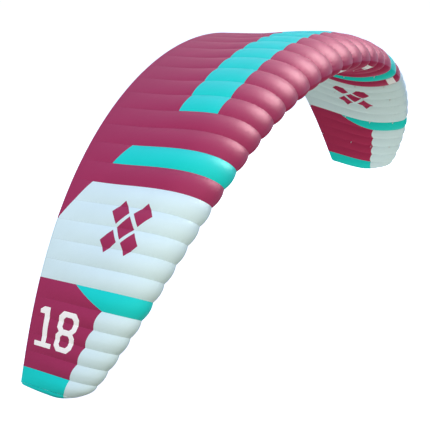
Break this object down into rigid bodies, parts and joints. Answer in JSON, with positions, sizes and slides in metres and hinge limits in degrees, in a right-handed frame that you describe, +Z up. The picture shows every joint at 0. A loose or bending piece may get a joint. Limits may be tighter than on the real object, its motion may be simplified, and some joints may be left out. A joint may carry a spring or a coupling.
{
  "type": "foil kite",
  "caption": "Ram-air foil kite canopy: an arched wing of sewn cloth cells over ribs, with line tabs, one-way air inlets and a deflation zip.",
  "frame": {"origin": "on the plane of symmetry, on the outer face of the lower cloth at the second (B) row of line tabs, where the mount bridle_centre is", "axes": "+X along the span, from the tip on the pilot's right to the tip on the pilot's left; +Y from the leading edge to the trailing edge; +Z up, away from the lines"},
  "size_m": [7.5906, 2.2088, 3.1801],
  "materials": {
    "magenta_ripstop": "coated ripstop, satin",
    "turquoise_ripstop": "coated ripstop, satin",
    "pale_ripstop": "coated ripstop, satin",
    "rib_cloth": "stiff resin-coated cloth, matte",
    "valve_cloth": "stiffened cloth flap, matte",
    "zip_black": "moulded zip, matte"
  },
  "bodies": {
    "canopy": {"upper_skin_r1": "magenta_ripstop", "upper_skin_r2": "magenta_ripstop", "upper_skin_r3": "pale_ripstop", "upper_skin_r4": "pale_ripstop", "upper_skin_r5": "turquoise_ripstop", "upper_skin_r6": "magenta_ripstop", "upper_skin_r7": "magenta_ripstop", "upper_skin_l1": "magenta_ripstop", "upper_skin_l2": "magenta_ripstop", "upper_skin_l3": "pale_ripstop", "upper_skin_l4": "pale_ripstop", "upper_skin_l5": "turquoise_ripstop", "upper_skin_l6": "magenta_ripstop", "upper_skin_l7": "magenta_ripstop", "upper_skin_mid": "magenta_ripstop", "lower_skin_r1": "magenta_ripstop", "lower_skin_r2": "magenta_ripstop", "lower_skin_r3": "pale_ripstop", "lower_skin_r4": "pale_ripstop", "lower_skin_r5": "turquoise_ripstop", "lower_skin_r6": "magenta_ripstop", "lower_skin_r7": "magenta_ripstop", "lower_skin_l1": "magenta_ripstop", "lower_skin_l2": "magenta_ripstop", "lower_skin_l3": "pale_ripstop", "lower_skin_l4": "pale_ripstop", "lower_skin_l5": "turquoise_ripstop", "lower_skin_l6": "magenta_ripstop", "lower_skin_l7": "magenta_ripstop", "lower_skin_mid": "magenta_ripstop", "main_rib_r1": "rib_cloth", "main_rib_r2": "rib_cloth", "main_rib_r3": "rib_cloth", "main_rib_r4": "rib_cloth", "main_rib_r5": "rib_cloth", "main_rib_r6": "rib_cloth", "main_rib_r7": "rib_cloth", "tip_rib_r": "rib_cloth", "main_rib_l1": "rib_cloth", "main_rib_l2": "rib_cloth", "main_rib_l3": "rib_cloth", "main_rib_l4": "rib_cloth", "main_rib_l5": "rib_cloth", "main_rib_l6": "rib_cloth", "main_rib_l7": "rib_cloth", "tip_rib_l": "rib_cloth", "deflation_zip": "zip_black"},
    "valve_r1": {"inlet_valve_r1": "valve_cloth"},
    "valve_r2": {"inlet_valve_r2": "valve_cloth"},
    "valve_r3": {"inlet_valve_r3": "valve_cloth"},
    "valve_l1": {"inlet_valve_l1": "valve_cloth"},
    "valve_l2": {"inlet_valve_l2": "valve_cloth"},
    "valve_l3": {"inlet_valve_l3": "valve_cloth"},
    "slider": {"zip_slider": "zip_black"}
  },
  "joints": [
    {"name": "valve_r1_swing", "type": "hinge", "parent": "canopy", "child": "valve_r1", "pos_m": [-2.18463, -0.46214, -0.62746], "axis": [0.7836, -0.1848, 0.5931], "range_deg": [0, 50]},
    {"name": "valve_r2_swing", "type": "hinge", "parent": "canopy", "child": "valve_r2", "pos_m": [-1.29183, -0.60235, -0.1275], "axis": [0.928, -0.0912, 0.3612], "range_deg": [0, 50]},
    {"name": "valve_r3_swing", "type": "hinge", "parent": "canopy", "child": "valve_r3", "pos_m": [-0.52945, -0.65142, 0.07585], "axis": [0.9882, -0.0345, 0.1494], "range_deg": [0, 50]},
    {"name": "valve_l1_swing", "type": "hinge", "parent": "canopy", "child": "valve_l1", "pos_m": [2.18463, -0.46214, -0.62746], "axis": [0.7836, 0.1848, -0.5931], "range_deg": [0, 50]},
    {"name": "valve_l2_swing", "type": "hinge", "parent": "canopy", "child": "valve_l2", "pos_m": [1.29183, -0.60235, -0.1275], "axis": [0.928, 0.0912, -0.3612], "range_deg": [0, 50]},
    {"name": "valve_l3_swing", "type": "hinge", "parent": "canopy", "child": "valve_l3", "pos_m": [0.52945, -0.65142, 0.07585], "axis": [0.9882, 0.0345, -0.1494], "range_deg": [0, 50]},
    {"name": "slider_run", "type": "slide", "parent": "canopy", "child": "slider", "axis": [1, 0, 0], "range_m": [0, 0.188]}
  ]
}
